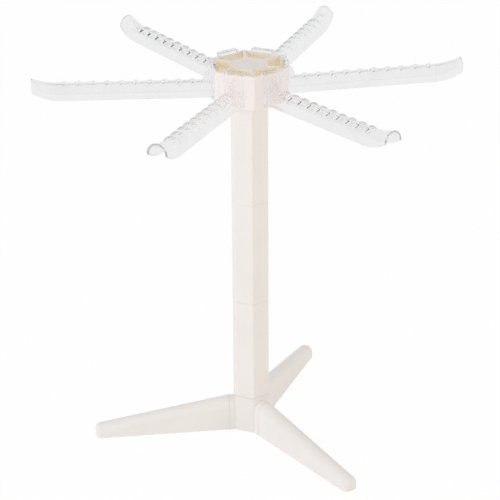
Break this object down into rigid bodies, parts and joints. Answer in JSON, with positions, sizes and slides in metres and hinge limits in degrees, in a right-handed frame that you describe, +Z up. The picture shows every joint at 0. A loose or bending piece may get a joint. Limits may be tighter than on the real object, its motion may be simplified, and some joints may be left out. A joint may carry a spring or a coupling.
{
  "type": "pasta drying rack",
  "caption": "Knock-down pasta drying rack: ribbed clear arms hook into a hexagonal hub on a stacked hexagonal post with a tripod base.",
  "frame": {"origin": "on the post's axis, on the surface that the rack stands on", "axes": "+Z up along the post, +X along one drying arm and away from the left leg"},
  "size_m": [0.382, 0.3398, 0.3702],
  "materials": {
    "cream_plastic": "satin moulded plastic",
    "clear_plastic": "clear polished plastic"
  },
  "bodies": {
    "base": {"base_hub": "cream_plastic"},
    "leg_left": {"leg_left": "cream_plastic"},
    "leg_front_right": {"leg_front_right": "cream_plastic"},
    "leg_back_right": {"leg_back_right": "cream_plastic"},
    "post_lower": {"post_lower": "cream_plastic"},
    "post_middle": {"post_middle": "cream_plastic"},
    "post_upper": {"post_upper": "cream_plastic"},
    "hub": {"arm_hub": "cream_plastic"},
    "arm_right": {"arm_right": "clear_plastic"},
    "arm_back_right": {"arm_back_right": "clear_plastic"},
    "arm_back_left": {"arm_back_left": "clear_plastic"},
    "arm_left": {"arm_left": "clear_plastic"},
    "arm_front_left": {"arm_front_left": "clear_plastic"},
    "arm_front_right": {"arm_front_right": "clear_plastic"}
  },
  "joints": [
    {"name": "leg_left_pull_out", "type": "slide", "parent": "base", "child": "leg_left", "axis": [-1, 0, 0], "range_m": [0, 0.02]},
    {"name": "leg_front_right_pull_out", "type": "slide", "parent": "base", "child": "leg_front_right", "axis": [0.5, -0.866, 0], "range_m": [0, 0.02]},
    {"name": "leg_back_right_pull_out", "type": "slide", "parent": "base", "child": "leg_back_right", "axis": [0.5, 0.866, 0], "range_m": [0, 0.02]},
    {"name": "post_lower_lift_off", "type": "slide", "parent": "base", "child": "post_lower", "axis": [0, 0, 1], "range_m": [0, 0.03]},
    {"name": "post_middle_lift_off", "type": "slide", "parent": "post_lower", "child": "post_middle", "axis": [0, 0, 1], "range_m": [0, 0.03]},
    {"name": "post_upper_lift_off", "type": "slide", "parent": "post_middle", "child": "post_upper", "axis": [0, 0, 1], "range_m": [0, 0.03]},
    {"name": "hub_lift_off", "type": "slide", "parent": "post_upper", "child": "hub", "axis": [0, 0, 1], "range_m": [0, 0.03]},
    {"name": "arm_right_lift_off", "type": "slide", "parent": "hub", "child": "arm_right", "axis": [0, 0, 1], "range_m": [0, 0.03]},
    {"name": "arm_back_right_lift_off", "type": "slide", "parent": "hub", "child": "arm_back_right", "axis": [0, 0, 1], "range_m": [0, 0.03]},
    {"name": "arm_back_left_lift_off", "type": "slide", "parent": "hub", "child": "arm_back_left", "axis": [0, 0, 1], "range_m": [0, 0.03]},
    {"name": "arm_left_lift_off", "type": "slide", "parent": "hub", "child": "arm_left", "axis": [0, 0, 1], "range_m": [0, 0.03]},
    {"name": "arm_front_left_lift_off", "type": "slide", "parent": "hub", "child": "arm_front_left", "axis": [0, 0, 1], "range_m": [0, 0.03]},
    {"name": "arm_front_right_lift_off", "type": "slide", "parent": "hub", "child": "arm_front_right", "axis": [0, 0, 1], "range_m": [0, 0.03]}
  ]
}
